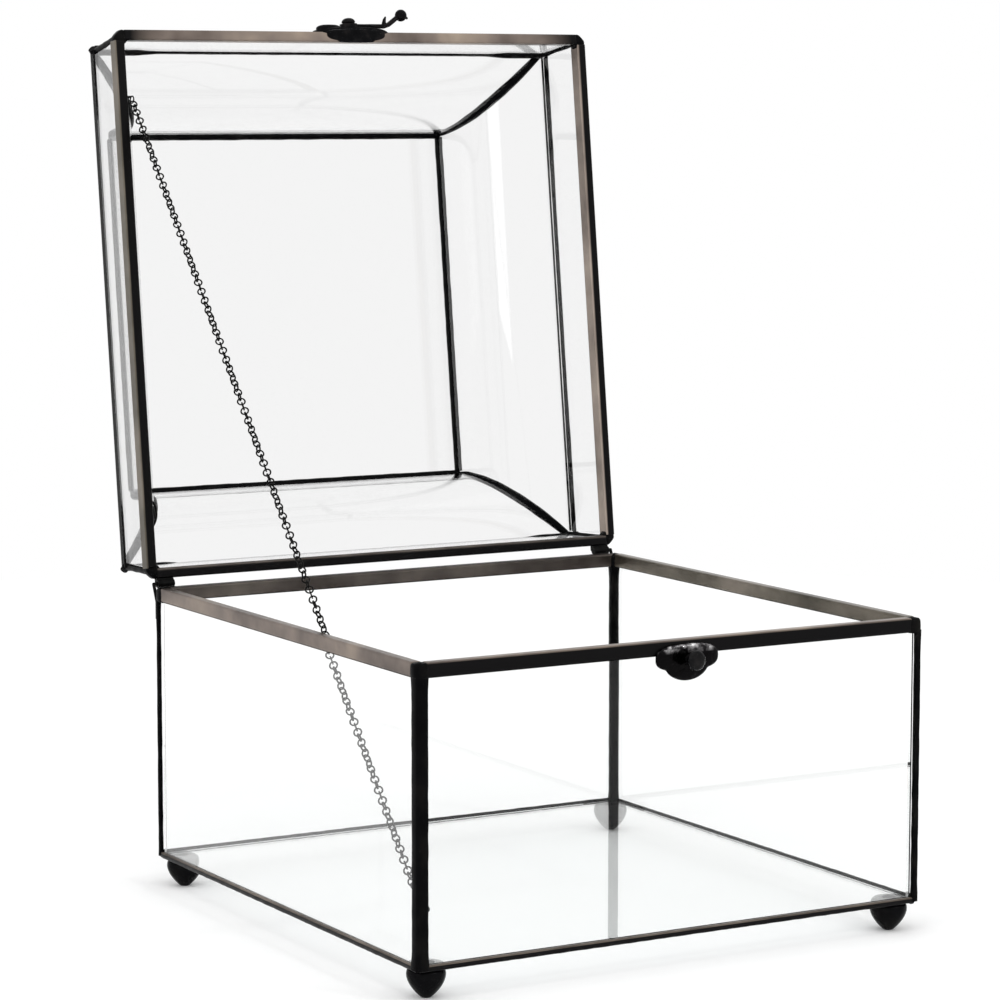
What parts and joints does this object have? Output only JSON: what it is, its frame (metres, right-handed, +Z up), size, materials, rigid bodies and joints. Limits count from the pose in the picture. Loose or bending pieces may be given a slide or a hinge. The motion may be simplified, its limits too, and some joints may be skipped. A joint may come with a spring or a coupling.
{
  "type": "glass card box",
  "caption": "Square glass keepsake box for wedding cards, soldered panes in metal channel on ball feet, with a hinged pagoda lid held open by a chain stay and closed by a swing hook.",
  "frame": {"origin": "middle of the open box's width and length, on the plane the feet stand on", "axes": "+X along the front to the right, +Y from the front to the hinge side, +Z up"},
  "size_m": [0.26, 0.3908, 0.415],
  "materials": {
    "clear_glass": "clear, polished",
    "bronze_channel": "dark bronze patina",
    "black_solder": "black patina, glossy",
    "black_wire": "black oxide",
    "cast_fittings": "black patina on cast metal",
    "black_feet": "glossy black"
  },
  "bodies": {
    "base": {"base_back_glass": "clear_glass", "base_bottom_glass": "clear_glass", "base_front_glass": "clear_glass", "base_left_glass": "clear_glass", "base_post_back_left": "black_solder", "base_post_back_right": "black_solder", "base_post_front_left": "black_solder", "base_post_front_right": "black_solder", "base_right_glass": "clear_glass", "base_rim_back": "bronze_channel", "base_rim_corners": "black_solder", "base_rim_front": "bronze_channel", "base_rim_left": "bronze_channel", "base_rim_right": "bronze_channel", "base_sill_back": "black_solder", "base_sill_front": "black_solder", "base_sill_left": "black_solder", "base_sill_right": "black_solder", "catch_knob": "cast_fittings", "catch_plate": "cast_fittings", "chain_eye_base": "black_wire", "foot_back_left": "black_feet", "foot_back_right": "black_feet", "foot_front_left": "black_feet", "foot_front_right": "black_feet", "hinge_pin_left": "black_wire", "hinge_pin_right": "black_wire", "stay_chain": "black_wire"},
    "lid": {"chain_eye_lid": "black_wire", "hinge_tube_left": "black_wire", "hinge_tube_right": "black_wire", "latch_plate": "cast_fittings", "latch_stud": "cast_fittings", "lid_cove_glass_back": "clear_glass", "lid_cove_glass_front": "clear_glass", "lid_cove_glass_left": "clear_glass", "lid_cove_glass_right": "clear_glass", "lid_hip_back_left": "black_solder", "lid_hip_back_right": "black_solder", "lid_hip_front_left": "black_solder", "lid_hip_front_right": "black_solder", "lid_rim_back": "bronze_channel", "lid_rim_corners": "black_solder", "lid_rim_front": "bronze_channel", "lid_rim_left": "bronze_channel", "lid_rim_right": "bronze_channel", "lid_shoulder_seams": "black_solder", "lid_skirt_corner_seams": "black_solder", "lid_skirt_glass_back": "clear_glass", "lid_skirt_glass_front": "clear_glass", "lid_skirt_glass_left": "clear_glass", "lid_skirt_glass_right": "clear_glass", "lid_staple": "black_wire", "lid_top_frame_back": "black_solder", "lid_top_frame_front": "black_solder", "lid_top_frame_left": "black_solder", "lid_top_frame_right": "black_solder", "lid_top_glass": "clear_glass"},
    "latch_hook": {"latch_hook": "cast_fittings"}
  },
  "joints": [
    {"name": "lid_hinge", "type": "hinge", "parent": "base", "child": "lid", "pos_m": [0, 0.07546, 0.1433], "axis": [1, 0, 0], "range_deg": [0, 97], "deforming": ["stay_chain"]},
    {"name": "latch_swing", "type": "hinge", "parent": "lid", "child": "latch_hook", "pos_m": [-0.003, 0.11166, 0.40534], "axis": [0, -0.1219, -0.9925], "range_deg": [0, 76]}
  ]
}
